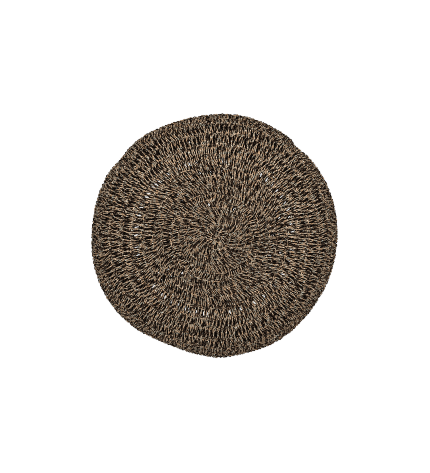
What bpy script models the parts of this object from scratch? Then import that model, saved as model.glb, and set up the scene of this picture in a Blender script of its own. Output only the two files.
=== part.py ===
"""A round rug crocheted in rounds from twisted seagrass cord, lying flat.

The rug is one piece: a single length of cord worked from the middle outwards. The solid has the rug's
uneven outline, a raised ring of heads on every round of stitches, a rounded rim, and the openings
between the stitches that are wide enough to see through. Metres, +Z up, underside on Z = 0.
"""

import math
from collections import namedtuple

import bmesh
import bpy
from mathutils.geometry import delaunay_2d_cdt

# Heights of the crochet above the floor
HEAD_HEIGHT = 0.0170
POST_HEIGHT = 0.0120
MIDDLE_HEIGHT = 0.0110
EDGING_HEIGHT = 0.0150

# Half the width of the ridge that the heads of a round make
HEAD_HALF_WIDTH = 0.0090

# The rounded rim: the widest line of the edging, and how far the rug draws in above and below it
RIM_HEIGHT = 0.0055
RIM_TOP_HEIGHT = 0.0105
RIM_TOP_INSET = 0.0045
RIM_FOOT_INSET = 0.0035

# Rounds of tall stitches, by the radius of their heads in an evenly pulled rug
ROUND_RADII = (0.020, 0.051, 0.089, 0.120, 0.150, 0.179, 0.215, 0.248, 0.292, 0.337, 0.378, 0.422, 0.459)
EDGING_RADIUS = 0.481
STITCHES_ADDED = 12.8
EVEN_LACE_RADIUS = 0.3165
EVEN_EDGE_RADIUS = 0.4953

# How far the rug is pulled out at each bearing: the ring of open stitches, and the edge. Bearings are in
# degrees, counterclockwise from +X round the first stitch, and radii in metres. The edge steps out
# between 49 and 53 degrees, where the edging ends.
Pull = namedtuple("Pull", "bearing lace_radius edge_radius")
PULLS = (
    Pull(0, 0.309, 0.489),
    Pull(22, 0.309, 0.494),
    Pull(42, 0.309, 0.494),
    Pull(49, 0.309, 0.488),
    Pull(53, 0.309, 0.498),
    Pull(60, 0.309, 0.500),
    Pull(80, 0.311, 0.503),
    Pull(95, 0.314, 0.497),
    Pull(110, 0.318, 0.497),
    Pull(130, 0.324, 0.509),
    Pull(141, 0.328, 0.504),
    Pull(150, 0.331, 0.512),
    Pull(175, 0.331, 0.509),
    Pull(198, 0.331, 0.514),
    Pull(214, 0.329, 0.509),
    Pull(228, 0.326, 0.498),
    Pull(236, 0.322, 0.487),
    Pull(248, 0.320, 0.479),
    Pull(262, 0.318, 0.484),
    Pull(270, 0.315, 0.490),
    Pull(284, 0.310, 0.486),
    Pull(300, 0.308, 0.489),
    Pull(320, 0.307, 0.484),
    Pull(342, 0.310, 0.485),
)

# Runs of open places between the posts of a round, spread evenly from one bearing to the other
Run = namedtuple("Run", "round start end places")
RUNS = (
    Run(5, 57, 105, 2),
    Run(7, 134, 318, 3),
    Run(8, 82, 131, 2),
    Run(8, 214, 219, 2),
    Run(8, 320, 360, 5),
    Run(9, 17, 25, 2),
    Run(9, 86, 104, 3),
    Run(9, 131, 131, 1),
    Run(9, 212, 219, 2),
    Run(9, 345, 355, 2),
    Run(10, 4, 56, 10),
    Run(10, 82, 86, 2),
    Run(10, 106, 164, 15),
    Run(10, 172, 194, 4),
    Run(10, 217, 230, 5),
    Run(10, 236, 264, 7),
    Run(10, 279, 309, 4),
    Run(10, 319, 351, 4),
    Run(11, 4, 61, 3),
    Run(11, 158, 202, 3),
    Run(11, 236, 327, 4),
    Run(12, 17, 60, 2),
    Run(12, 75, 123, 4),
    Run(13, 9, 68, 3),
)
LACE_ROUND = 10
LACE_GAP_LENGTH, LACE_GAP_WIDTH = 0.0190, 0.0068
GAP_LENGTH, GAP_WIDTH = 0.0120, 0.0054
GAP_LEAN = math.radians(12)
GAP_CORNERS = 6

# How much larger than an opening the place is that the face's own points keep clear of
GAP_MARGIN = 1.5

# Points along the rim, and the points that a ring gains with each round
RIM_POINTS = 160
RING_POINTS_ADDED = 8.5


def pulled(bearing, column):
    """The value of a column of PULLS at a bearing in radians, on a smooth closed curve through the rows."""
    degrees = math.degrees(bearing) % 360
    after = next((i for i, row in enumerate(PULLS) if row.bearing > degrees), len(PULLS))
    rows = []
    for i in range(after - 2, after + 2):
        turns, index = divmod(i, len(PULLS))
        rows.append((PULLS[index].bearing + 360 * turns, getattr(PULLS[index], column)))
    (b0, v0), (b1, v1), (b2, v2), (b3, v3) = rows
    span = b2 - b1
    t = (degrees - b1) / span
    slope1 = (v2 - v0) / (b2 - b0) * span
    slope2 = (v3 - v1) / (b3 - b1) * span
    return (
        v1 * (1 + 2 * t) * (1 - t) ** 2
        + v2 * (3 - 2 * t) * t * t
        + slope1 * t * (1 - t) ** 2
        - slope2 * t * t * (1 - t)
    )


def pull_out(even_radius, bearing):
    """The radius that a place of the evenly pulled rug has at this bearing of the real, uneven one."""
    lace = pulled(bearing, "lace_radius")
    if even_radius < EVEN_LACE_RADIUS:
        return even_radius * lace / EVEN_LACE_RADIUS
    beyond = (even_radius - EVEN_LACE_RADIUS) / (EVEN_EDGE_RADIUS - EVEN_LACE_RADIUS)
    return lace + beyond * (pulled(bearing, "edge_radius") - lace)


def place(even_radius, bearing, inset=0.0):
    """The point of the rug at this radius and bearing, from the first stitch."""
    radius = pull_out(even_radius, bearing) - inset
    return radius * math.cos(bearing), radius * math.sin(bearing)


def stitches_in(number):
    """The number of tall stitches in a round."""
    return round(STITCHES_ADDED * number)


def round_span(number):
    """The inner and outer radius of a round in the evenly pulled rug."""
    return (ROUND_RADII[number - 2] if number > 1 else 0.0), ROUND_RADII[number - 1]


def gap_places():
    """The round and the bearing of every opening, each midway between two posts."""
    found = set()
    for run in RUNS:
        pitch = 360 / stitches_in(run.round)
        for i in range(run.places):
            bearing = run.start + (run.end - run.start) * i / max(run.places - 1, 1)
            found.add((run.round, int(bearing % 360 / pitch)))
    return sorted((number, math.radians((i + 0.5) * 360 / stitches_in(number))) for number, i in found)


def gap_outline(number, bearing, scale=1.0):
    """The corners of one opening: a slim lens along the posts, leaning with them."""
    inner, outer = round_span(number)
    middle = (inner + outer) / 2
    laced = number == LACE_ROUND
    half_length = (LACE_GAP_LENGTH if laced else GAP_LENGTH) / 2 * scale
    half_width = (LACE_GAP_WIDTH if laced else GAP_WIDTH) / 2 * scale
    corner_turn = 2 * math.pi / GAP_CORNERS
    corners = []
    for i in range(GAP_CORNERS):
        along = half_length * math.cos(i * corner_turn)
        aside = half_width * math.sin(i * corner_turn) / math.sin(corner_turn) + along * math.tan(GAP_LEAN)
        corners.append(place(middle + along, bearing + aside / pull_out(middle, bearing)))
    return corners


def inside(point, corners):
    """Whether a point lies inside a convex outline that runs counterclockwise."""
    x, y = point
    for (x0, y0), (x1, y1) in zip(corners, corners[1:] + corners[:1]):
        if (x1 - x0) * (y - y0) - (y1 - y0) * (x - x0) < 0:
            return False
    return True


def face_rings():
    """Radius, height and number of points of each ring of the upper face: a ridge of heads on every round."""
    rings = []
    for number, radius in enumerate(ROUND_RADII, 1):
        count = round(RING_POINTS_ADDED * number)
        rings.append((radius - HEAD_HALF_WIDTH, POST_HEIGHT, count))
        rings.append((radius, HEAD_HEIGHT, count))
        rings.append((radius + HEAD_HALF_WIDTH, POST_HEIGHT, count))
    rings.append((EDGING_RADIUS, EDGING_HEIGHT, RIM_POINTS))
    return rings


def face_points(gaps):
    """Points of the upper face, clear of every opening."""
    kept_clear = [gap_outline(number, bearing, GAP_MARGIN) for number, bearing in gaps]
    points = [(0.0, 0.0, MIDDLE_HEIGHT)]
    for radius, height, count in face_rings():
        for i in range(count):
            x, y = place(radius, 2 * math.pi * i / count)
            if not any(inside((x, y), corners) for corners in kept_clear):
                points.append((x, y, height))
    return points


def triangulate(rim, holes, loose):
    """Triangles over a flat region with holes. Its corners are numbered rim, holes, then loose points."""
    flat = list(rim)
    edges = [(i, (i + 1) % len(rim)) for i in range(len(rim))]
    for hole in holes:
        start = len(flat)
        flat += hole
        edges += [(start + i, start + (i + 1) % len(hole)) for i in range(len(hole))]
    owner = {i: (i - len(rim)) // GAP_CORNERS for i in range(len(rim), len(flat))}
    flat += loose
    inside_constraints = 1
    merge_distance = 1e-6
    _, _, faces, origins, _, _ = delaunay_2d_cdt(flat, edges, [], inside_constraints, merge_distance)
    if any(len(origin) != 1 for origin in origins):
        raise ValueError("two openings, or an opening and the rim, cross each other")
    kept = []
    for face in faces:
        corners = [origins[i][0] for i in face]
        owners = {owner.get(i) for i in corners}
        if len(owners) > 1 or owners == {None}:
            kept.append(corners)
    return kept


def rug_mesh():
    """The whole rug as one closed mesh, over the middle of its outline's box."""
    bearings = [2 * math.pi * i / RIM_POINTS for i in range(RIM_POINTS)]
    gaps = gap_places()
    holes = [gap_outline(number, bearing) for number, bearing in gaps]
    hole_points = [point for hole in holes for point in hole]
    widest = [place(EVEN_EDGE_RADIUS, bearing) for bearing in bearings]
    middle_x = (min(x for x, _ in widest) + max(x for x, _ in widest)) / 2
    middle_y = (min(y for _, y in widest) + max(y for _, y in widest)) / 2

    mesh = bmesh.new()

    def add(x, y, z):
        return mesh.verts.new((x - middle_x, y - middle_y, z))

    top_rim = [place(EVEN_EDGE_RADIUS, bearing, RIM_TOP_INSET) for bearing in bearings]
    foot_rim = [place(EVEN_EDGE_RADIUS, bearing, RIM_FOOT_INSET) for bearing in bearings]
    loose = face_points(gaps)
    top = [add(x, y, RIM_TOP_HEIGHT) for x, y in top_rim]
    top += [add(x, y, POST_HEIGHT) for x, y in hole_points]
    top += [add(*point) for point in loose]
    for face in triangulate(top_rim, holes, [point[:2] for point in loose]):
        mesh.faces.new([top[i] for i in face])

    foot = [add(x, y, 0.0) for x, y in foot_rim + hole_points]
    for face in triangulate(foot_rim, holes, []):
        mesh.faces.new([foot[i] for i in reversed(face)])

    side = [add(x, y, RIM_HEIGHT) for x, y in widest]
    for i in range(RIM_POINTS):
        after = (i + 1) % RIM_POINTS
        mesh.faces.new((foot[i], foot[after], side[after], side[i]))
        mesh.faces.new((side[i], side[after], top[after], top[i]))
    for start in range(RIM_POINTS, RIM_POINTS + len(hole_points), GAP_CORNERS):
        for i in range(GAP_CORNERS):
            here, after = start + i, start + (i + 1) % GAP_CORNERS
            mesh.faces.new((top[here], top[after], foot[after], foot[here]))
    bmesh.ops.recalc_face_normals(mesh, faces=mesh.faces)
    bmesh.ops.triangulate(mesh, faces=mesh.faces)
    return mesh


def seagrass_material():
    material = bpy.data.materials.new("seagrass")
    material.use_nodes = True
    shader = material.node_tree.nodes["Principled BSDF"]
    shader.inputs["Base Color"].default_value = (0.105, 0.077, 0.051, 1.0)
    shader.inputs["Roughness"].default_value = 0.85
    shader.inputs["Metallic"].default_value = 0.0
    return material


def build_rug():
    mesh = rug_mesh()
    data = bpy.data.meshes.new("rug")
    mesh.to_mesh(data)
    mesh.free()
    data.materials.append(seagrass_material())
    data.shade_smooth()
    data.set_sharp_from_angle(angle=math.radians(50))
    rug = bpy.data.objects.new("rug", data)
    bpy.context.scene.collection.objects.link(rug)
    return rug


def clear_scene():
    for old in list(bpy.data.objects):
        bpy.data.objects.remove(old, do_unlink=True)


clear_scene()
build_rug()
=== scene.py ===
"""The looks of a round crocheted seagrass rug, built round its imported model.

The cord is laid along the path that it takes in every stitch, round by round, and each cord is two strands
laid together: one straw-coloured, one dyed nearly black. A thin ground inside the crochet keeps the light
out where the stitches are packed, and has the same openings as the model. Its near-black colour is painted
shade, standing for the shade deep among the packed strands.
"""

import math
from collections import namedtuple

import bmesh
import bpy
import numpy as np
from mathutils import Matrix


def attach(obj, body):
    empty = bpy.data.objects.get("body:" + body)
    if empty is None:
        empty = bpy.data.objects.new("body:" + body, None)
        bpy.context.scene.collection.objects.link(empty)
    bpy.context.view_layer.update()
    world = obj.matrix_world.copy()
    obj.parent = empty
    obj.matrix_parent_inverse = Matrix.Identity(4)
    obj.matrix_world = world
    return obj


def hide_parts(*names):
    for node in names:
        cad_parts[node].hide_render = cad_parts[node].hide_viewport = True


bl_info = {
    "name": "Crocheted seagrass rug",
    "version": (1, 0, 0),
    "blender": (4, 5, 0),
    "location": "View3D > Sidebar > Rug",
    "description": "Crochets a round seagrass rug stitch by stitch and sets it on a plain floor",
    "category": "Object",
}

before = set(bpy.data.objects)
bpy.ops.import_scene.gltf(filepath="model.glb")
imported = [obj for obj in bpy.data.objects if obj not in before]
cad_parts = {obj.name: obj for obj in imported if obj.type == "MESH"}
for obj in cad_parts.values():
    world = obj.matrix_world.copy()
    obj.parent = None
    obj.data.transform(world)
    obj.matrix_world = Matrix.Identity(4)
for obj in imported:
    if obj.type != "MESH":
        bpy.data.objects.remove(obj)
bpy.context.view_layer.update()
CAD_NODE = "rug"
BODY = "root"

# The photograph's frame, in pixels, and what one of them covers on the floor
FRAME_WIDTH, FRAME_HEIGHT = 430, 473
RUG_MIDDLE_X, RUG_MIDDLE_Y = 214.5, 235.7
PIXEL = 0.00406

# The rounds of the evenly pulled rug: their outer radii as in the model, how far apart the heads are, by how
# many degrees the posts lean counterclockwise on the way out, how far they bow that way in widths of a
# stitch, the share by which the two legs of a post are drawn together, how much deeper than usual the heads
# lie, how uneven the stitches are, and how pale the straw of the cord is
Round = namedtuple("Round", "radius spacing lean bow drawn sunk loose pale")
ROUNDS = (
    Round(0.020, 0.0174, 0, 0.00, 0.0, 0.0000, 1.0, 0.92),
    Round(0.051, 0.0176, -8, 0.00, 0.0, 0.0000, 1.0, 0.95),
    Round(0.089, 0.0180, 38, 0.00, 0.2, 0.0000, 1.0, 0.91),
    Round(0.120, 0.0184, 42, 0.00, 0.2, 0.0000, 1.0, 0.87),
    Round(0.150, 0.0184, 34, 0.05, 0.2, 0.0000, 1.0, 0.86),
    Round(0.179, 0.0182, 3, 0.05, 0.0, 0.0000, 1.0, 1.04),
    Round(0.215, 0.0184, 30, 0.05, 0.4, 0.0010, 1.0, 0.88),
    Round(0.248, 0.0184, 37, 0.05, 0.2, 0.0010, 1.0, 0.92),
    Round(0.292, 0.0178, 28, 0.08, 0.2, 0.0000, 1.1, 0.98),
    Round(0.337, 0.0170, 15, 0.10, 0.0, 0.0022, 0.8, 1.04),
    Round(0.378, 0.0166, 0, 0.22, 0.6, 0.0020, 0.4, 1.06),
    Round(0.422, 0.0174, 5, 0.24, 0.8, 0.0020, 0.4, 1.03),
    Round(0.459, 0.0180, 13, 0.24, 0.9, 0.0020, 0.4, 0.92),
)

# The two rounds of the edging: their outer radii, how far apart the stitches are, and how pale the straw is.
# The outer round's straw is darker than the inner's, as painted shade along the rug's rim.
EDGING_RADII = (0.4750, 0.4900)
EDGING_SPACING = 0.0134
EDGING_PALES = (0.78, 0.68)

# The hole in the first round, and the radii that PULLS is measured at, all in the evenly pulled rug
FIRST_ROUND_INNER_RADIUS = 0.005
EVEN_LACE_RADIUS = 0.3165
EVEN_EDGE_RADIUS = 0.4953

# How far the rug is pulled out at each bearing, in degrees counterclockwise from +X round the first stitch
Pull = namedtuple("Pull", "bearing lace_radius edge_radius")
PULLS = (
    Pull(0, 0.309, 0.489),
    Pull(22, 0.309, 0.494),
    Pull(42, 0.309, 0.494),
    Pull(49, 0.309, 0.488),
    Pull(53, 0.309, 0.498),
    Pull(60, 0.309, 0.500),
    Pull(80, 0.311, 0.503),
    Pull(95, 0.314, 0.497),
    Pull(110, 0.318, 0.497),
    Pull(130, 0.324, 0.509),
    Pull(141, 0.328, 0.504),
    Pull(150, 0.331, 0.512),
    Pull(175, 0.331, 0.509),
    Pull(198, 0.331, 0.514),
    Pull(214, 0.329, 0.509),
    Pull(228, 0.326, 0.498),
    Pull(236, 0.322, 0.487),
    Pull(248, 0.320, 0.479),
    Pull(262, 0.318, 0.484),
    Pull(270, 0.315, 0.490),
    Pull(284, 0.310, 0.486),
    Pull(300, 0.308, 0.489),
    Pull(320, 0.307, 0.484),
    Pull(342, 0.310, 0.485),
)

# At how many bearings the outline's reach is looked at to find its middle
BEARINGS_LOOKED_AT = 1440

# Runs of open places between the posts of a round, as in the model, with the bearings of the first and last
Run = namedtuple("Run", "round start end places")
RUNS = (
    Run(5, 57, 105, 2),
    Run(7, 134, 318, 3),
    Run(8, 82, 131, 2),
    Run(8, 214, 219, 2),
    Run(8, 320, 360, 5),
    Run(9, 17, 25, 2),
    Run(9, 86, 104, 3),
    Run(9, 131, 131, 1),
    Run(9, 212, 219, 2),
    Run(9, 345, 355, 2),
    Run(10, 4, 56, 10),
    Run(10, 82, 86, 2),
    Run(10, 106, 164, 15),
    Run(10, 172, 194, 4),
    Run(10, 217, 230, 5),
    Run(10, 236, 264, 7),
    Run(10, 279, 309, 4),
    Run(10, 319, 351, 4),
    Run(11, 4, 61, 3),
    Run(11, 158, 202, 3),
    Run(11, 236, 327, 4),
    Run(12, 17, 60, 2),
    Run(12, 75, 123, 4),
    Run(13, 9, 68, 3),
)

# The round that is open nearly all round, and how many more places an opening could be in than one round
# further in
LACE_ROUND = 10
GAP_SPACINGS_ADDED = 12.8

# How the cord is parted at an open place: how long and wide the opening is, how it leans, the least and most
# of its width that is parted, the share of the outer ones that a post crosses, how much further aside the
# middle of the cord goes inside, in and outside the open round, how far past the opening's ends the cord is
# moved, and how far to each side
LACE_GAP_LENGTH, LACE_GAP_WIDTH = 0.0190, 0.0058
GAP_LENGTH, GAP_WIDTH = 0.0120, 0.0054
GAP_LEAN = math.radians(12)
PARTED = (0.4, 1.1)
OUTER_CROSSED = 0.6
INNER_ASIDE, LACE_ASIDE, OUTER_ASIDE = 0.0044, 0.0025, 0.0018
CORD_BEYOND = 0.0080
PARTED_WITHIN = 0.06

# The path of the cord in one stitch. aside is in widths of a stitch, in the direction of work. up is the
# share of the stitch's length, from the heads that it is worked into to its own. height is in metres off the
# floor.
Step = namedtuple("Step", "aside up height")
TALL_STITCH = (
    Step(-0.80, 0.94, 0.0078),
    Step(-0.50, 0.80, 0.0050),
    Step(-0.34, 0.45, 0.0045),
    Step(-0.22, 0.14, 0.0048),
    Step(-0.14, -0.09, 0.0064),
    Step(-0.16, -0.10, 0.0108),
    Step(-0.22, 0.03, 0.0136),
    Step(-0.25, 0.25, 0.0124),
    Step(-0.25, 0.50, 0.0116),
    Step(-0.24, 0.72, 0.0114),
    Step(-0.18, 0.90, 0.0090),
    Step(0.00, 0.96, 0.0066),
    Step(0.18, 0.90, 0.0090),
    Step(0.24, 0.72, 0.0114),
    Step(0.25, 0.50, 0.0116),
    Step(0.25, 0.25, 0.0124),
    Step(0.22, 0.03, 0.0136),
    Step(0.16, -0.10, 0.0108),
    Step(0.14, -0.09, 0.0064),
    Step(0.20, 0.14, 0.0048),
    Step(0.26, 0.45, 0.0045),
    Step(0.18, 0.74, 0.0050),
    Step(0.02, 0.88, 0.0076),
    Step(0.02, 0.95, 0.0112),
    Step(0.14, 1.01, 0.0134),
    Step(0.44, 1.05, 0.0142),
    Step(0.90, 1.03, 0.0132),
    Step(0.64, 0.94, 0.0108),
)
SHORT_STITCH = (
    Step(-0.80, 0.90, 0.0076),
    Step(-0.46, 0.62, 0.0050),
    Step(-0.20, 0.14, 0.0046),
    Step(-0.12, -0.22, 0.0062),
    Step(-0.16, -0.26, 0.0112),
    Step(-0.22, 0.10, 0.0136),
    Step(-0.20, 0.60, 0.0118),
    Step(0.00, 0.86, 0.0098),
    Step(0.20, 0.60, 0.0118),
    Step(0.22, 0.10, 0.0136),
    Step(0.14, -0.26, 0.0112),
    Step(0.10, -0.22, 0.0062),
    Step(0.12, 0.36, 0.0048),
    Step(0.02, 0.78, 0.0068),
    Step(0.08, 0.96, 0.0114),
    Step(0.36, 1.10, 0.0128),
    Step(0.72, 1.12, 0.0120),
    Step(0.96, 0.98, 0.0104),
    Step(0.62, 0.88, 0.0082),
)

# How many sections the cord has in a stitch. They are shared out along a stitch of a usual size, by the
# cord's length and, with this weight, its bends. Where the cord lies hidden below this height they are
# fewer, by this share. Each step is looked at in this many parts.
TALL_SECTIONS = 46
SHORT_SECTIONS = 22
STITCH_WIDTH, TALL_LENGTH, SHORT_LENGTH = 0.0165, 0.0400, 0.0160
BEND_WEIGHT = 1.3
HIDDEN_BELOW, HIDDEN_SHARE = 0.0065, 0.65
PARTS_OF_A_STEP = 40

# How much the stitches differ, in widths of a stitch: each on its own, and several neighbours together. A
# shift moves the whole stitch, a sway leans it, a spread is the share by which it is wider or narrower.
OWN_SPREAD = 0.09
OWN_SHIFT, SHARED_SHIFT = 0.05, 0.12
OWN_SWAY, SHARED_SWAY = 0.08, 0.36
SHARED_BY = 7
OWN_LIFT = 0.0005

# How far the cord wanders within a stitch: aside in widths of a stitch, times this factor at the foot and one
# more than that at the head, along the stitch in shares of its length, and in height. The steps on each side
# share in a shift, and the sum is divided by about the root of the sum of the shares' squares.
WANDER, WANDER_AT_FOOT = 0.07, 0.5
WANDER_ALONG = 0.030
WANDER_HEIGHT = 0.0006
STEP_SHARES = {-2: 1, -1: 2, 0: 3, 1: 2, 2: 1}
STEP_SHARES_ROOT = 4.36

# How far the strands slip round each other where their lay is uneven, in radians, slowly along the cord and
# within a turn or so, and how quickly either changes
LAY_DRIFT, DRIFTS_PER_METRE = 5.0, 3.0
LAY_SLACK, SLACKS_PER_TURN = 2.0, 0.8

# By what share the foot of a post is drawn to the nearest head of the round below
DRAWN_TO_HEAD = 0.55

# The legs of a post are drawn together most at this share of the stitch's length, and less up to this far
# from there. They sink by this much where they are drawn together wholly. Steps nearer to the stitch's middle
# than this, in widths of a stitch, belong to a leg.
DRAWN_AT, DRAWN_REACH = 0.65, 0.45
SAG = 0.0012
LEG_WITHIN = 0.3

# Steps past this share of the stitch's length and above this height are its head
HEAD_FROM, HEAD_ABOVE = 0.92, 0.0100

# No cord is lower than this, so that none dips into the floor
LEAST_HEIGHT = 0.0003

# The cord's section has two round lobes, one for each strand, on this many corners in all. In widths of a
# strand: how far the lobes reach aside, half the height of the waist between them, how much they bulge past
# it, and how far the middle of a strand is from the middle of the cord. The straw strand is smaller by this
# factor.
CORD_CORNERS = 8
LOBE_REACH, WAIST, LOBE_BULGE = 0.957, 0.283, 0.552
STRAND_MIDDLE = 0.457
STRAW_SIZE = 0.94

# How much the cord's thickness varies along it, and how quickly
SWELL, SWELLS_PER_METRE = 0.4, 45

# The cord keeps its width in bends of this radius and wider, and at least this share of it in sharper ones
EASY_BEND, MOST_PINCHED = 0.0030, 0.60

# A smaller turn between two links of the cord, in radians, counts as this one
LEAST_TURN = 0.01

# Rounds that are one piece together, to keep each piece's mesh a handy size
Piece = namedtuple("Piece", "name first last")
PIECES = (
    Piece("rounds_1_6", 1, 6),
    Piece("rounds_7_8", 7, 8),
    Piece("rounds_9_10", 9, 10),
    Piece("round_11", 11, 11),
    Piece("round_12", 12, 12),
    Piece("round_13", 13, 13),
)

# Each strand is twisted from two plies, with one turn in this length. The groove between them: how steep and
# how soft its sides are, and how much it is shaded and to what tint.
PLY_LAY = 0.011
GROOVE_STEEPNESS, GROOVE_SOFTNESS = 2.2, 0.4
GROOVE_SHADE, GROOVE_TINT = 0.8, (0.25, 0.20, 0.16)

# The fibres: how fine they are round and along a ply, how much they stand out beside the groove, and what
# they add to the roughness
FIBRES_ROUND, FIBRES_ALONG = 6.0, 60
FIBRE_RELIEF = 0.4
CORD_ROUGHNESS, FIBRE_ROUGHNESS = 0.62, 0.2
CORD_SPECULAR = 0.01

# The tone of a strand varies along it and, by these shares, from fibre to fibre. These are the places where
# the straw turns from deep to plain and to pale, and the dye from black to worn.
TONES_PER_METRE = 26
STRAW_FIBRE_SHARE, DYED_FIBRE_SHARE = 0.3, 0.5
STRAW_STOPS = (0.34, 0.55, 0.70)
DYED_STOPS = (0.49, 0.66)

# The cast of the straw: how quickly it changes, where on its noise it starts, and where it turns from greyish
# to none and to reddish
CASTS_PER_METRE, CAST_START = 14, 40
CAST_STOPS = (0.36, 0.50, 0.64)
NO_CAST = (1, 1, 1)

# How much further along, in metres, the pattern and the cast of the dyed strand start than those of the straw
TONE_APART, CAST_APART = 3.1, 7.3

# The straw is painted darker low in the crochet, as painted shade in its recesses, and paler on top, as
# painted light, by these factors at these heights
DEPTH_SHADE_LOW, DEPTH_SHADE_HIGH = 0.0090, 0.0160
DEPTH_SHADE_LEAST, DEPTH_SHADE_MOST = 0.84, 1.07

# The straw is painted lighter towards +Y, as painted light falling from that side, by this share for each
# metre from the middle
SIDE_LIGHT_PER_METRE = 0.3

# The ground's lowest and highest places, how far it stays inside the edge, the share that is kept of the
# differences in reach between its rim's points, and within how little of each other points count as one
GROUND_LOW, GROUND_HIGH = 0.0050, 0.0056
GROUND_INSET = 0.008
RIM_KEPT = 0.05
SAME_POINT = 1e-6

# The stage: a wide floor just below the rug, the place from which the light points to the rug's middle and
# how wide it looks, the camera's sensor in millimetres, how the picture is developed, and how sharp its
# pixels are
FLOOR_REACH, FLOOR_HEIGHT = 30.0, -0.0005
KEY_PLACE = (-0.35, 0.45, 5.6)
KEY_ANGLE = math.radians(14)
SENSOR_WIDTH = 36
EXPOSURE, GAMMA = 0.26, 0.94
FILTER_WIDTH = 0.8


def pulled(degrees, column):
    """A column of PULLS at bearings in degrees, on a smooth closed curve through the rows."""
    bearings = np.array([row.bearing for row in PULLS], float)
    values = np.array([getattr(row, column) for row in PULLS], float)
    bearings = np.concatenate([bearings[-2:] - 360, bearings, bearings[:2] + 360])
    values = np.concatenate([values[-2:], values, values[:2]])
    slopes = (values[2:] - values[:-2]) / (bearings[2:] - bearings[:-2])
    bearings, values = bearings[1:-1], values[1:-1]
    at = np.mod(degrees, 360)
    i = np.clip(np.searchsorted(bearings, at, side="right") - 1, 0, len(bearings) - 2)
    span = bearings[i + 1] - bearings[i]
    t = (at - bearings[i]) / span
    return (
        values[i] * (1 + 2 * t) * (1 - t) ** 2
        + values[i + 1] * (3 - 2 * t) * t * t
        + slopes[i] * span * t * (1 - t) ** 2
        - slopes[i + 1] * span * t * t * (1 - t)
    )


def pull_out(even_radius, bearing):
    """The radii that places of the evenly pulled rug have in the real, uneven one."""
    degrees = np.degrees(bearing)
    lace = pulled(degrees, "lace_radius")
    edge = pulled(degrees, "edge_radius")
    within = even_radius * lace / EVEN_LACE_RADIUS
    beyond = lace + (even_radius - EVEN_LACE_RADIUS) / (EVEN_EDGE_RADIUS - EVEN_LACE_RADIUS) * (edge - lace)
    return np.where(even_radius < EVEN_LACE_RADIUS, within, beyond)


def first_stitch():
    """Where the rug's first stitch is, from the middle of its outline's box."""
    bearing = np.linspace(0, 2 * math.pi, BEARINGS_LOOKED_AT, endpoint=False)
    reach = pull_out(np.full_like(bearing, EVEN_EDGE_RADIUS), bearing)
    x, y = reach * np.cos(bearing), reach * np.sin(bearing)
    return -(x.min() + x.max()) / 2, -(y.min() + y.max()) / 2


FIRST_X, FIRST_Y = first_stitch()


def all_rounds():
    """The rounds of tall stitches and of the edging, whose stitches stand straight."""
    edging = [
        Round(radius, EDGING_SPACING, lean=0, bow=0, drawn=0, sunk=0, loose=1, pale=pale)
        for radius, pale in zip(EDGING_RADII, EDGING_PALES)
    ]
    return [*ROUNDS, *edging]


class Course:
    """One round of stitches: its radii, its number of stitches, and the path that they share."""

    def __init__(self, number):
        self.number = number
        row = all_rounds()[number - 1]
        self.outer, self.bow, self.drawn, self.sunk = row.radius, row.bow, row.drawn, row.sunk
        self.loose, self.pale = row.loose, row.pale
        self.stitches = round(2 * math.pi * self.outer / row.spacing)
        short = number == 1 or number > len(ROUNDS)
        self.steps = SHORT_STITCH if short else TALL_STITCH
        self.sections = SHORT_SECTIONS if short else TALL_SECTIONS
        self.usual_length = SHORT_LENGTH if short else TALL_LENGTH
        self.inner = FIRST_ROUND_INNER_RADIUS if number == 1 else Course(number - 1).outer
        self.pitch = 2 * math.pi / self.stitches
        lean = math.tan(math.radians(row.lean))
        self.turn = (self.outer - self.inner) * lean / (self.outer + self.inner) * 2

    def tops(self):
        """Bearings of the heads."""
        return np.arange(self.stitches) * self.pitch + self.turn / 2

    def feet(self):
        """Bearings of the posts' feet, drawn to the nearest head of the round below."""
        even = np.arange(self.stitches) * self.pitch - self.turn / 2
        if self.number == 1:
            return even
        below = Course(self.number - 1)
        nearest = np.round((even - below.turn / 2) / below.pitch) * below.pitch + below.turn / 2
        return even + DRAWN_TO_HEAD * (nearest - even)


def gap_places(number):
    """Bearings of the open places of a round, as in the model."""
    found = set()
    for run in RUNS:
        if run.round != number:
            continue
        pitch = 360 / round(GAP_SPACINGS_ADDED * number)
        for i in range(run.places):
            bearing = run.start + (run.end - run.start) * i / max(run.places - 1, 1)
            found.add(int(bearing % 360 / pitch))
    return [math.radians((i + 0.5) * pitch) for i in sorted(found)]


def through(points, at):
    """Points on a smooth closed curve through the given ones, at places counted in their steps."""
    i = np.floor(at).astype(int)
    t = (at - i)[:, None]
    count = len(points)
    p0, p1, p2, p3 = (points[(i + k) % count] for k in (-1, 0, 1, 2))
    return 0.5 * (
        2 * p1 + (p2 - p0) * t + (2 * p0 - 5 * p1 + 4 * p2 - p3) * t**2 + (3 * p1 - 3 * p2 + p3 - p0) * t**3
    )


def links_and_bends(points):
    """How long the links between points are, and by how much the path turns from one to the next."""
    along = np.diff(points, axis=0)
    length = np.linalg.norm(along, axis=1)
    heading = along / length[:, None]
    return length, np.arccos(np.clip((heading[1:] * heading[:-1]).sum(1), -1, 1))


def section_places(steps, stitch_length, sections):
    """Where a stitch's sections lie along its steps: evenly spaced, but closer where the cord bends."""
    count = len(steps)
    flat = np.array([[s.aside * STITCH_WIDTH, s.up * stitch_length, s.height] for s in steps])
    three = np.concatenate([flat + [k * STITCH_WIDTH, 0, 0] for k in range(3)])
    at = np.linspace(count, 2 * count, PARTS_OF_A_STEP * count + 1)
    points = through(three, at)
    length, bend = links_and_bends(points)
    bend = np.append(bend, bend[-1])
    seen = np.where((points[1:, 2] + points[:-1, 2]) / 2 > HIDDEN_BELOW, 1.0, HIDDEN_SHARE)
    weight = seen * (length / length.sum() + BEND_WEIGHT * bend / bend.sum())
    reached = np.concatenate([[0], np.cumsum(weight)])
    wanted = np.linspace(0, reached[-1], sections, endpoint=False)
    return np.interp(wanted, reached, at - count)


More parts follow.
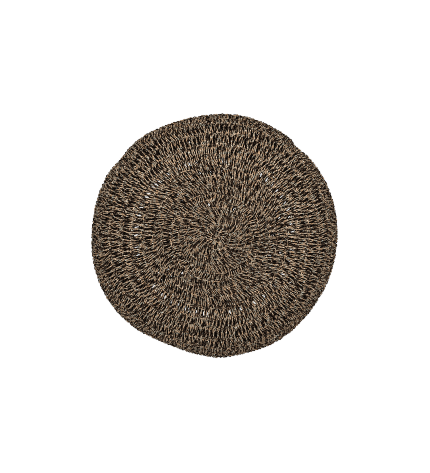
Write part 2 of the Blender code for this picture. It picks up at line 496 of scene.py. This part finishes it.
def open_up(course, bearing, radius, random):
    """Parts the cord at the round's open places, some more than others, and crosses some outer ones."""
    laced = course.number == LACE_ROUND
    half_length = (LACE_GAP_LENGTH if laced else GAP_LENGTH) / 2
    half_width = (LACE_GAP_WIDTH if laced else GAP_WIDTH) / 2
    aside_too = LACE_ASIDE if laced else INNER_ASIDE if course.number < LACE_ROUND else OUTER_ASIDE
    middle_even = (course.inner + course.outer) / 2
    for gap in gap_places(course.number):
        wide = half_width * random.uniform(*PARTED) + aside_too
        crossed = course.number > LACE_ROUND and random.random() < OUTER_CROSSED
        middle = pull_out(np.array([middle_even]), np.array([gap]))[0]
        beyond = (radius - middle) / (half_length + CORD_BEYOND)
        window = np.clip(1 - beyond**2, 0, 1) ** 0.5
        turn = np.mod(bearing - gap + math.pi, 2 * math.pi) - math.pi
        aside = turn * radius - (radius - middle) * math.tan(GAP_LEAN)
        side = np.where(aside < 0, -1.0, 1.0)
        push = (wide * window) ** 2 * (-1 if crossed else 1)
        moved = side * np.sqrt(np.maximum(aside**2 + push, 0))
        near = np.abs(aside) < PARTED_WITHIN
        bearing = np.where(near, bearing + (moved - aside) / radius, bearing)
    return bearing


def wander(random, amount, shape):
    """Smooth random shifts for each step of each stitch, from one step to the next."""
    shift = random.normal(0, amount, shape).ravel()
    smooth = sum(share * np.roll(shift, k) for k, share in STEP_SHARES.items())
    return smooth.reshape(shape) / STEP_SHARES_ROOT


def shared(random, amount, count):
    """Smooth random shifts for each stitch of a round, much alike in neighbours."""
    shift = random.normal(0, amount, count)
    return sum(np.roll(shift, k) for k in range(SHARED_BY))[:, None] / math.sqrt(SHARED_BY)


def course_route(course, unevenness, seed):
    """The cord's path through a whole round, as points in the rug's place."""
    random = np.random.default_rng(seed + course.number)
    unevenness = unevenness * course.loose
    steps = np.array(course.steps)
    tops, feet = course.tops()[::-1], course.feet()[::-1]
    shape = (course.stitches, len(steps))
    each = (course.stitches, 1)
    spread = 1 + random.normal(0, OWN_SPREAD, each) * unevenness
    up = steps[:, 1] + wander(random, WANDER_ALONG, shape) * unevenness
    from_drawn = (steps[:, 1] - DRAWN_AT) / DRAWN_REACH
    inward = np.clip(1 - from_drawn**2, 0, 1) * (np.abs(steps[:, 0]) < LEG_WITHIN) * course.drawn
    wandered = wander(random, WANDER, shape) * (WANDER_AT_FOOT + up) * unevenness
    aside = steps[:, 0] * (1 - inward) * spread + wandered
    in_head = (steps[:, 1] > HEAD_FROM) & (steps[:, 2] > HEAD_ABOVE)
    height = steps[:, 2] - course.sunk * in_head - SAG * inward
    height = height + wander(random, WANDER_HEIGHT, shape) * unevenness
    shift = random.normal(0, OWN_SHIFT, each) + shared(random, SHARED_SHIFT, course.stitches)
    sway = random.normal(0, OWN_SWAY, each) + shared(random, SHARED_SWAY, course.stitches)
    aside = aside + (shift + sway * (up - 0.5)) * unevenness
    aside = aside - course.bow * np.clip(4 * up * (1 - up), 0, 1)
    lift = random.normal(0, OWN_LIFT, each) * unevenness
    bearing = feet[:, None] + (tops - feet)[:, None] * up - aside * course.pitch
    even_radius = course.inner + (course.outer - course.inner) * up
    radius = pull_out(even_radius, bearing)
    points = np.stack([radius * np.cos(bearing), radius * np.sin(bearing), height + lift], -1)
    places = section_places(course.steps, course.usual_length, course.sections)
    at = (np.arange(course.stitches)[:, None] * len(steps) + places[None]).ravel()
    points = through(points.reshape(-1, 3), at)
    bearing = np.arctan2(points[:, 1], points[:, 0])
    radius = np.hypot(points[:, 0], points[:, 1])
    bearing = open_up(course, bearing, radius, random)
    return np.stack([
        FIRST_X + radius * np.cos(bearing),
        FIRST_Y + radius * np.sin(bearing),
        points[:, 2],
    ], -1)


class Wire:
    """A node's output, which adds Math nodes when it is used in an expression."""

    def __init__(self, graph, socket):
        self.graph = graph
        self.socket = socket

    def __getitem__(self, output):
        return Wire(self.graph, self.socket.node.outputs[output])

    def _math(self, operation, first, second):
        return self.graph.add("ShaderNodeMath", {"operation": operation}, {0: first, 1: second})

    def __add__(self, other):
        return self._math("ADD", self, other)

    __radd__ = __add__

    def __sub__(self, other):
        return self._math("SUBTRACT", self, other)

    def __rsub__(self, other):
        return self._math("SUBTRACT", other, self)

    def __mul__(self, other):
        return self._math("MULTIPLY", self, other)

    __rmul__ = __mul__

    def __truediv__(self, other):
        return self._math("DIVIDE", self, other)

    def __rtruediv__(self, other):
        return self._math("DIVIDE", other, self)


class Graph:
    """A node tree that is filled one node at a time."""

    def __init__(self, tree):
        self.tree = tree

    def add(self, kind, settings=None, sockets=None):
        """Adds a node, with its settings first and then the values or links of its sockets."""
        node = self.tree.nodes.new(kind)
        for name, value in (settings or {}).items():
            if name == "ramp":
                self.set_ramp(node.color_ramp, value)
            else:
                setattr(node, name, value)
        for name, value in (sockets or {}).items():
            if isinstance(value, Wire):
                self.tree.links.new(value.socket, node.inputs[name])
            else:
                node.inputs[name].default_value = value
        return Wire(self, node.outputs[0]) if node.outputs else node

    @staticmethod
    def set_ramp(ramp, stops):
        """Gives a new ramp its colours, each at its position."""
        while len(ramp.elements) < len(stops):
            ramp.elements.new(1.0)
        for element, (position, colour) in zip(ramp.elements, stops):
            element.position = position
            element.color = colour

    def math(self, operation, *values):
        return self.add("ShaderNodeMath", {"operation": operation}, dict(enumerate(values)))

    def scaled(self, vector, factor):
        return self.add("ShaderNodeVectorMath", {"operation": "SCALE"}, {"Vector": vector, "Scale": factor})

    def noise_along(self, place, detail=1.0, roughness=0.5):
        """Noise that changes along a line only."""
        return self.add("ShaderNodeTexNoise", {"noise_dimensions": "1D"}, {
            "W": place, "Detail": detail, "Roughness": roughness,
        })

    def ramp(self, factor, stops, colours):
        """Colours that turn into each other from stop to stop."""
        pairs = [(stop, (*colour, 1)) for stop, colour in zip(stops, colours)]
        return self.add("ShaderNodeValToRGB", {"ramp": pairs}, {"Fac": factor})

    def mixed(self, factor, first, second, blend="MIX"):
        """Two colours mixed, or one multiplied by the other, by a factor."""
        settings = {"data_type": "RGBA", "blend_type": blend}
        return self.add("ShaderNodeMix", settings, {0: factor, 6: first, 7: second})[2]


def pinched(points):
    """How much of its width the cord keeps at each point of its route: less where it bends sharply."""
    length, bend = links_and_bends(points)
    keeps = (length[1:] + length[:-1]) / 2 / np.maximum(bend, LEAST_TURN) / EASY_BEND
    keeps = np.clip(np.concatenate([keeps[:1], keeps, keeps[-1:]]), MOST_PINCHED, 1)
    return (np.roll(keeps, 1) + 2 * keeps + np.roll(keeps, -1)) / 4


def strand_tree():
    """Geometry nodes that lay the two strands of a cord along its route, twisted together."""
    tree = bpy.data.node_groups.new("Lay strands", "GeometryNodeTree")
    sockets = (
        ("Route", "NodeSocketGeometry", None),
        ("Strand Width", "NodeSocketFloat", 0.0046),
        ("Lay Length", "NodeSocketFloat", 0.046),
        ("Slackness", "NodeSocketFloat", 1.0),
        ("Seed", "NodeSocketFloat", 0.0),
        ("Material", "NodeSocketMaterial", None),
    )
    for name, kind, default in sockets:
        socket = tree.interface.new_socket(name, in_out="INPUT", socket_type=kind)
        if default is not None:
            socket.default_value = default
    tree.interface.new_socket("Strands", in_out="OUTPUT", socket_type="NodeSocketGeometry")
    graph = Graph(tree)
    given = graph.add("NodeGroupInput")
    width = given["Strand Width"]

    curve = graph.add("GeometryNodeMeshToCurve", None, {"Mesh": given["Route"]})
    length = graph.add("GeometryNodeSplineParameter")["Length"]
    turns = length / given["Lay Length"]
    drift = graph.noise_along(length * DRIFTS_PER_METRE + given["Seed"])
    slack = graph.noise_along(turns * SLACKS_PER_TURN + given["Seed"])
    slips = (drift - 0.5) * LAY_DRIFT + (slack - 0.5) * LAY_SLACK
    tilt = turns * (2 * math.pi) + slips * given["Slackness"]
    curve = graph.add("GeometryNodeSetCurveTilt", None, {"Curve": curve, "Tilt": tilt})
    swell = graph.noise_along(length * SWELLS_PER_METRE + given["Seed"])
    keeps = graph.add("GeometryNodeInputNamedAttribute", {"data_type": "FLOAT"}, {"Name": "keeps"})
    scale = (swell * SWELL + (1 - SWELL / 2)) * keeps["Attribute"]
    curve = graph.add(
        "GeometryNodeStoreNamedAttribute", {"data_type": "FLOAT", "domain": "POINT"},
        {"Geometry": curve, "Name": "along", "Value": length},
    )

    circle = graph.add(
        "GeometryNodeCurvePrimitiveCircle", {"mode": "RADIUS"}, {"Resolution": CORD_CORNERS, "Radius": 1.0}
    )
    corner = graph.add("ShaderNodeSeparateXYZ", None, {0: graph.add("GeometryNodeInputPosition")})
    bulge = graph.math("ABSOLUTE", corner["X"]) * LOBE_BULGE + WAIST
    size = graph.math("GREATER_THAN", corner["X"], 0.0) * (1 - STRAW_SIZE) + STRAW_SIZE
    lobes = graph.add("ShaderNodeCombineXYZ", None, {
        "X": corner["X"] * LOBE_REACH * size, "Y": corner["Y"] * bulge * size,
    })
    section = graph.add("GeometryNodeSetPosition", None, {"Geometry": circle, "Position": lobes})
    section = graph.add(
        "GeometryNodeStoreNamedAttribute", {"data_type": "FLOAT_VECTOR", "domain": "POINT"},
        {"Geometry": section, "Name": "section", "Value": graph.add("GeometryNodeInputPosition")},
    )
    sized = graph.scaled(graph.add("GeometryNodeInputPosition"), width)
    section = graph.add("GeometryNodeSetPosition", None, {"Geometry": section, "Position": sized})

    cord = graph.add(
        "GeometryNodeCurveToMesh", None,
        {"Curve": curve, "Profile Curve": section, "Scale": scale, "Fill Caps": True},
    )
    real = graph.add("GeometryNodeRealizeInstances", None, {"Geometry": cord})
    finished = graph.add("GeometryNodeSetMaterial", None, {"Geometry": real, "Material": given["Material"]})
    graph.add("NodeGroupOutput", None, {"Strands": finished})
    return tree


def lay_strands(name, numbers, tree, settings, material):
    """Makes one piece: the strands of these rounds, as a plain mesh."""
    courses = [Course(number) for number in numbers]
    routes = [course_route(course, settings.unevenness, settings.seed) for course in courses]
    points = np.concatenate(routes)
    edges, start = [], 0
    for route in routes:
        links = np.arange(start, start + len(route) - 1)
        edges.append(np.stack([links, links + 1], -1))
        start += len(route)
    data = bpy.data.meshes.new(name + "_route")
    data.from_pydata(points.tolist(), np.concatenate(edges).tolist(), [])
    keeps = data.attributes.new("keeps", "FLOAT", "POINT")
    keeps.data.foreach_set("value", np.concatenate([pinched(route) for route in routes]))
    pale = data.attributes.new("pale", "FLOAT", "POINT")
    counts = [len(route) for route in routes]
    pale.data.foreach_set("value", np.repeat([course.pale for course in courses], counts))
    route = bpy.data.objects.new(name + "_route", data)
    bpy.context.scene.collection.objects.link(route)
    modifier = route.modifiers.new("Lay strands", "NODES")
    modifier.node_group = tree
    values = {
        "Strand Width": settings.strand_width,
        "Lay Length": settings.lay_length,
        "Slackness": settings.slackness,
        "Material": material,
    }
    for item in tree.interface.items_tree:
        if item.name in values:
            modifier[item.identifier] = values[item.name]
    graph = bpy.context.evaluated_depsgraph_get()
    mesh = bpy.data.meshes.new_from_object(route.evaluated_get(graph))
    bpy.data.objects.remove(route, do_unlink=True)
    mesh.name = name
    places = np.empty(len(mesh.vertices) * 3, np.float32)
    mesh.vertices.foreach_get("co", places)
    places[2::3] = np.maximum(places[2::3], LEAST_HEIGHT)
    mesh.vertices.foreach_set("co", places)
    mesh.update()
    piece = bpy.data.objects.new(name, mesh)
    bpy.context.scene.collection.objects.link(piece)
    return piece


def new_material(name):
    """A material with an empty tree, and its graph."""
    material = bpy.data.materials.new(name)
    material.use_nodes = True
    material.node_tree.nodes.clear()
    return material, Graph(material.node_tree)


def seagrass_material(settings):
    """Dry seagrass strands, one of straw and one dyed, each twisted from two plies with fibres along them."""
    material, graph = new_material("seagrass_cord")
    along = graph.add("ShaderNodeAttribute", {"attribute_name": "along"})["Fac"]
    section = graph.add("ShaderNodeAttribute", {"attribute_name": "section"})["Vector"]
    pale = graph.add("ShaderNodeAttribute", {"attribute_name": "pale"})["Fac"]
    place = graph.add("ShaderNodeSeparateXYZ", None, {0: graph.add("ShaderNodeTexCoord")["Object"]})
    corner = graph.add("ShaderNodeSeparateXYZ", None, {0: section})
    dyed_side = graph.math("GREATER_THAN", corner["X"], 0.0)
    aside = graph.math("ABSOLUTE", corner["X"]) - STRAND_MIDDLE
    along_strand = along + dyed_side * TONE_APART

    turn = graph.math("ARCTAN2", corner["Y"], aside) * 2 + along_strand * (2 * math.pi / PLY_LAY)
    ply = graph.math("SINE", turn) * 0.5 + 0.5
    groove = graph.math("SMOOTH_MIN", ply * GROOVE_STEEPNESS, 1.0, GROOVE_SOFTNESS)
    lying = graph.add("ShaderNodeCombineXYZ", None, {
        "X": graph.math("COSINE", turn * 0.5), "Y": graph.math("SINE", turn * 0.5), "Z": along * FIBRES_ALONG,
    })
    fibre = graph.add("ShaderNodeTexNoise", None, {"Vector": lying, "Scale": FIBRES_ROUND, "Detail": 3.0})

    tone = graph.noise_along(along_strand * TONES_PER_METRE, detail=3.0, roughness=0.6)
    straw_tone = tone * (1 - STRAW_FIBRE_SHARE) + fibre * STRAW_FIBRE_SHARE
    straw = graph.ramp(straw_tone, STRAW_STOPS, (settings.straw_deep, settings.straw, settings.straw_pale))
    dyed_tone = tone * (1 - DYED_FIBRE_SHARE) + fibre * DYED_FIBRE_SHARE
    dyed = graph.ramp(dyed_tone, DYED_STOPS, (settings.dyed, settings.dyed_worn))

    cast = graph.noise_along((along + dyed_side * CAST_APART) * CASTS_PER_METRE + CAST_START)
    cast = graph.ramp(cast, CAST_STOPS, (settings.greyish, NO_CAST, settings.reddish))
    straw = graph.mixed(1.0, straw, cast, "MULTIPLY")
    # Painted shade and light: the straw is darker low in the crochet and paler on top, by height alone
    depth_shade = graph.add("ShaderNodeMapRange", None, {
        "Value": place["Z"], "From Min": DEPTH_SHADE_LOW, "From Max": DEPTH_SHADE_HIGH,
        "To Min": DEPTH_SHADE_LEAST, "To Max": DEPTH_SHADE_MOST,
    })
    # Painted light: the straw is lighter towards +Y, as if lit more from that side
    side_light = place["Y"] * SIDE_LIGHT_PER_METRE + 1
    straw = graph.scaled(straw, pale * depth_shade * side_light)

    colour = graph.mixed(dyed_side, straw, dyed)
    shade = graph.mixed((1 - groove) * GROOVE_SHADE, colour, (*GROOVE_TINT, 1), "MULTIPLY")
    bump = graph.add("ShaderNodeBump", None, {
        "Strength": 0.6, "Distance": 0.0008, "Height": groove + fibre * FIBRE_RELIEF,
    })
    shader = graph.add("ShaderNodeBsdfPrincipled", None, {
        "Base Color": shade, "Roughness": CORD_ROUGHNESS + fibre * FIBRE_ROUGHNESS,
        "Normal": bump, "Specular IOR Level": CORD_SPECULAR,
    })
    graph.add("ShaderNodeOutputMaterial", None, {"Surface": shader})
    return material


def ground_material(settings):
    """The packed inside of the crochet, painted near black as the shade deep among its strands."""
    material, graph = new_material("packed_inside")
    shader = graph.add("ShaderNodeBsdfPrincipled", None, {
        "Base Color": (*settings.inside, 1), "Roughness": 0.9, "Specular IOR Level": 0.05,
    })
    graph.add("ShaderNodeOutputMaterial", None, {"Surface": shader})
    return material


def cord_kit(scene):
    """The tree, the settings and the material that all pieces of cord share."""
    tree = bpy.data.node_groups.get("Lay strands") or strand_tree()
    material = bpy.data.materials.get("seagrass_cord") or seagrass_material(scene.rug_colours)
    return tree, scene.rug_cord, material


def finish_piece(piece):
    """Lets a piece ride on the rug."""
    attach(piece, BODY)


class RugCord(bpy.types.PropertyGroup):
    strand_width: bpy.props.FloatProperty(
        name="Strand width", description="Thickness of one strand of the cord",
        default=0.0046, min=0.002, max=0.01, unit="LENGTH")
    lay_length: bpy.props.FloatProperty(
        name="Lay length", description="Length of cord in which the two strands turn once round each other",
        default=0.046, min=0.01, max=0.3, unit="LENGTH")
    slackness: bpy.props.FloatProperty(
        name="Slackness", description="How irregularly the two strands turn round each other",
        default=1.0, min=0, max=3)
    unevenness: bpy.props.FloatProperty(
        name="Unevenness", description="How much one stitch differs from the next",
        default=1.0, min=0, max=3)
    seed: bpy.props.IntProperty(
        name="Seed", description="Picks one set of uneven stitches", default=7)


class RugColours(bpy.types.PropertyGroup):
    straw: bpy.props.FloatVectorProperty(
        name="Straw", description="Main colour of the natural strand",
        subtype="COLOR", size=3, default=(0.49, 0.376, 0.268), min=0, max=1)
    straw_pale: bpy.props.FloatVectorProperty(
        name="Pale straw", description="Palest parts of the natural strand",
        subtype="COLOR", size=3, default=(0.96, 0.86, 0.73), min=0, max=1)
    straw_deep: bpy.props.FloatVectorProperty(
        name="Deep straw", description="Brownest parts of the natural strand",
        subtype="COLOR", size=3, default=(0.27, 0.18, 0.11), min=0, max=1)
    greyish: bpy.props.FloatVectorProperty(
        name="Greyish cast", description="Tints the straw where the grass has weathered",
        subtype="COLOR", size=3, default=(0.74, 0.90, 1.0), min=0, max=1)
    reddish: bpy.props.FloatVectorProperty(
        name="Reddish cast", description="Tints the straw where the grass dried to a redder brown",
        subtype="COLOR", size=3, default=(1.0, 0.86, 0.72), min=0, max=1)
    dyed: bpy.props.FloatVectorProperty(
        name="Dyed", description="Main colour of the dyed strand",
        subtype="COLOR", size=3, default=(0.0017, 0.0009, 0.0006), min=0, max=1)
    dyed_worn: bpy.props.FloatVectorProperty(
        name="Worn dye", description="Where the dye is thin on the dyed strand",
        subtype="COLOR", size=3, default=(0.195, 0.122, 0.086), min=0, max=1)
    # Painted shade: the inside is near black, standing for packed fibres deep in shade
    inside: bpy.props.FloatVectorProperty(
        name="Inside", description="Colour of the packed fibres inside the crochet",
        subtype="COLOR", size=3, default=(0.0024, 0.0014, 0.001), min=0, max=1)


class RugStage(bpy.types.PropertyGroup):
    floor_colour: bpy.props.FloatVectorProperty(
        name="Floor colour", description="Colour of the plain floor",
        subtype="COLOR", size=3, default=(0.72, 0.72, 0.72), min=0, max=1)
    key_strength: bpy.props.FloatProperty(
        name="Key light", description="Strength of the soft light from above", default=2.9, min=0)
    sky_strength: bpy.props.FloatProperty(
        name="Room light", description="Strength of the even light of the room", default=0.32, min=0)
    lens: bpy.props.FloatProperty(
        name="Lens", description="Focal length of the camera", default=85, min=20, max=200, unit="CAMERA")


class RUG_OT_ground(bpy.types.Operator):
    """Lay the thin ground inside the crochet, painted near black as shade"""
    bl_idname = "rug.ground"
    bl_label = "Lay the ground"

    def execute(self, context):
        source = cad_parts[CAD_NODE]
        data = source.data.copy()
        data.name = "ground"
        data.materials.clear()
        mesh = bmesh.new()
        mesh.from_mesh(data)
        bmesh.ops.remove_doubles(mesh, verts=mesh.verts, dist=SAME_POINT)
        points = np.array([v.co for v in mesh.verts])
        turned = points[:, :2] - [FIRST_X, FIRST_Y]
        bearing = np.arctan2(turned[:, 1], turned[:, 0])
        radius = np.hypot(turned[:, 0], turned[:, 1])
        edge = pull_out(np.full_like(bearing, EVEN_EDGE_RADIUS), bearing)
        radius = np.minimum(radius, edge - GROUND_INSET + (radius - edge) * RIM_KEPT)
        tallest = points[:, 2].max()
        height = GROUND_LOW + (GROUND_HIGH - GROUND_LOW) * points[:, 2] / tallest
        for vert, r, b, z in zip(mesh.verts, radius, bearing, height):
            vert.co = (FIRST_X + r * math.cos(b), FIRST_Y + r * math.sin(b), z)
        mesh.to_mesh(data)
        mesh.free()
        ground = bpy.data.objects.new("ground", data)
        context.scene.collection.objects.link(ground)
        data.materials.append(ground_material(context.scene.rug_colours))
        finish_piece(ground)
        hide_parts(CAD_NODE)
        return {"FINISHED"}


class RUG_OT_rounds(bpy.types.Operator):
    """Crochet the rounds of tall stitches, from the middle outwards"""
    bl_idname = "rug.rounds"
    bl_label = "Crochet the rounds"

    def execute(self, context):
        kit = cord_kit(context.scene)
        for piece in PIECES:
            numbers = range(piece.first, piece.last + 1)
            finish_piece(lay_strands(piece.name, numbers, *kit))
        return {"FINISHED"}


class RUG_OT_edging(bpy.types.Operator):
    """Work the edging of short stitches round the outside"""
    bl_idname = "rug.edging"
    bl_label = "Work the edging"

    def execute(self, context):
        first = len(ROUNDS) + 1
        numbers = range(first, first + len(EDGING_RADII))
        finish_piece(lay_strands("edging", numbers, *cord_kit(context.scene)))
        return {"FINISHED"}


class RUG_OT_stage(bpy.types.Operator):
    """Set the floor, the light, the room and the camera"""
    bl_idname = "rug.stage"
    bl_label = "Set the stage"

    def execute(self, context):
        scene = context.scene
        stage = scene.rug_stage
        floor_mesh = bpy.data.meshes.new("floor")
        signs = ((-1, -1), (1, -1), (1, 1), (-1, 1))
        corners = [(x * FLOOR_REACH, y * FLOOR_REACH, FLOOR_HEIGHT) for x, y in signs]
        floor_mesh.from_pydata(corners, [], [(0, 1, 2, 3)])
        floor = bpy.data.objects.new("floor", floor_mesh)
        scene.collection.objects.link(floor)
        material, graph = new_material("floor")
        shader = graph.add("ShaderNodeBsdfPrincipled", None, {
            "Base Color": (*stage.floor_colour, 1), "Roughness": 0.9, "Specular IOR Level": 0.0,
        })
        graph.add("ShaderNodeOutputMaterial", None, {"Surface": shader})
        floor_mesh.materials.append(material)

        key_data = bpy.data.lights.new("key", "SUN")
        key_data.angle = KEY_ANGLE
        key_data.energy = stage.key_strength
        key = bpy.data.objects.new("key", key_data)
        key.location = KEY_PLACE
        key_x, key_y, key_z = KEY_PLACE
        key.rotation_euler = (-math.atan2(key_y, key_z), math.atan2(key_x, key_z), 0)
        scene.collection.objects.link(key)

        world = bpy.data.worlds.new("room")
        world.use_nodes = True
        backing = world.node_tree.nodes["Background"]
        backing.inputs["Color"].default_value = (1, 1, 1, 1)
        backing.inputs["Strength"].default_value = stage.sky_strength
        scene.world = world

        camera_data = bpy.data.cameras.new("camera")
        camera_data.lens = stage.lens
        camera_data.sensor_width = SENSOR_WIDTH
        camera_data.sensor_fit = "AUTO"
        camera = bpy.data.objects.new("camera", camera_data)
        seen = FRAME_HEIGHT * PIXEL
        camera.location = (
            (FRAME_WIDTH / 2 - RUG_MIDDLE_X) * PIXEL,
            (RUG_MIDDLE_Y - FRAME_HEIGHT / 2) * PIXEL,
            seen * stage.lens / SENSOR_WIDTH,
        )
        scene.collection.objects.link(camera)
        scene.camera = camera
        scene.view_settings.view_transform = "Standard"
        scene.view_settings.exposure = EXPOSURE
        scene.view_settings.gamma = GAMMA
        scene.cycles.filter_width = FILTER_WIDTH
        scene.cycles.use_denoising = False
        return {"FINISHED"}


class RUG_PT_rug(bpy.types.Panel):
    bl_label = "Seagrass rug"
    bl_idname = "RUG_PT_rug"
    bl_space_type = "VIEW_3D"
    bl_region_type = "UI"
    bl_category = "Rug"

    def draw(self, context):
        layout = self.layout
        for group in (context.scene.rug_cord, context.scene.rug_colours, context.scene.rug_stage):
            box = layout.box()
            for name in group.bl_rna.properties.keys():
                if name not in ("rna_type", "name"):
                    box.prop(group, name)
        for operator in OPERATORS:
            layout.operator(operator.bl_idname)


GROUPS = (("rug_cord", RugCord), ("rug_colours", RugColours), ("rug_stage", RugStage))
OPERATORS = (RUG_OT_ground, RUG_OT_rounds, RUG_OT_edging, RUG_OT_stage)


def register():
    for name, group in GROUPS:
        bpy.utils.register_class(group)
        setattr(bpy.types.Scene, name, bpy.props.PointerProperty(type=group))
    for operator in OPERATORS:
        bpy.utils.register_class(operator)
    bpy.utils.register_class(RUG_PT_rug)


def unregister():
    bpy.utils.unregister_class(RUG_PT_rug)
    for operator in reversed(OPERATORS):
        bpy.utils.unregister_class(operator)
    for name, group in reversed(GROUPS):
        delattr(bpy.types.Scene, name)
        bpy.utils.unregister_class(group)


def main():
    register()
    bpy.ops.rug.ground()
    bpy.ops.rug.rounds()
    bpy.ops.rug.edging()
    bpy.ops.rug.stage()


if __name__ == "__main__":
    main()
